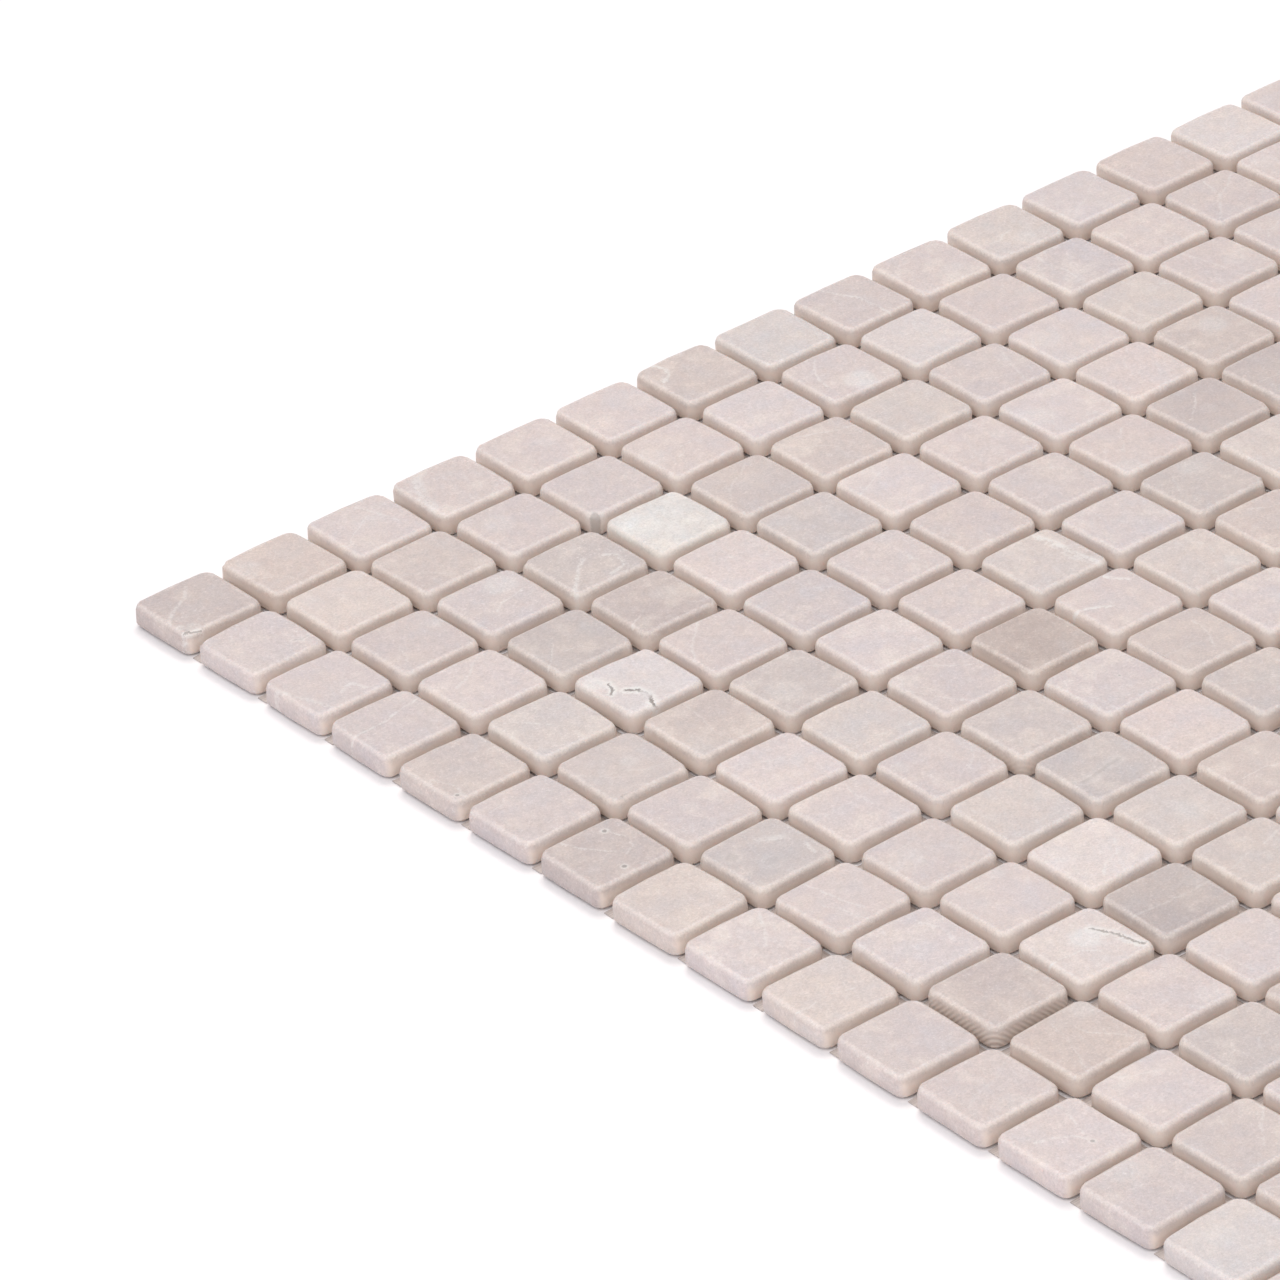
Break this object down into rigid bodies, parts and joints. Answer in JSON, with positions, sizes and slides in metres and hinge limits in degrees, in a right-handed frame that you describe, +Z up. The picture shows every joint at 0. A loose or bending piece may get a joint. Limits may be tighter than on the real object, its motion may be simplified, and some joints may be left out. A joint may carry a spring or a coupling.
{
  "type": "mosaic tile sheet",
  "caption": "Square sheet of tumbled marble mosaic chips with open joints, bonded face up on a square of glass-fibre net.",
  "frame": {"origin": "middle of the net's underside, which lies on the floor or the adhesive bed", "axes": "+Z up out of the chips' faces; X and Y along the sheet's edges, the rows of chips run along X"},
  "size_m": [0.3046, 0.3046, 0.0044],
  "materials": {
    "marble": "satin",
    "glass_fibre_net": "matte"
  },
  "bodies": {
    "root": {"backing_net": "glass_fibre_net", "chip_row_01": "marble", "chip_row_02": "marble", "chip_row_03": "marble", "chip_row_04": "marble", "chip_row_05": "marble", "chip_row_06": "marble", "chip_row_07": "marble", "chip_row_08": "marble", "chip_row_09": "marble", "chip_row_10": "marble", "chip_row_11": "marble", "chip_row_12": "marble", "chip_row_13": "marble", "chip_row_14": "marble", "chip_row_15": "marble", "chip_row_16": "marble", "chip_row_17": "marble", "chip_row_18": "marble"}
  },
  "joints": []
}
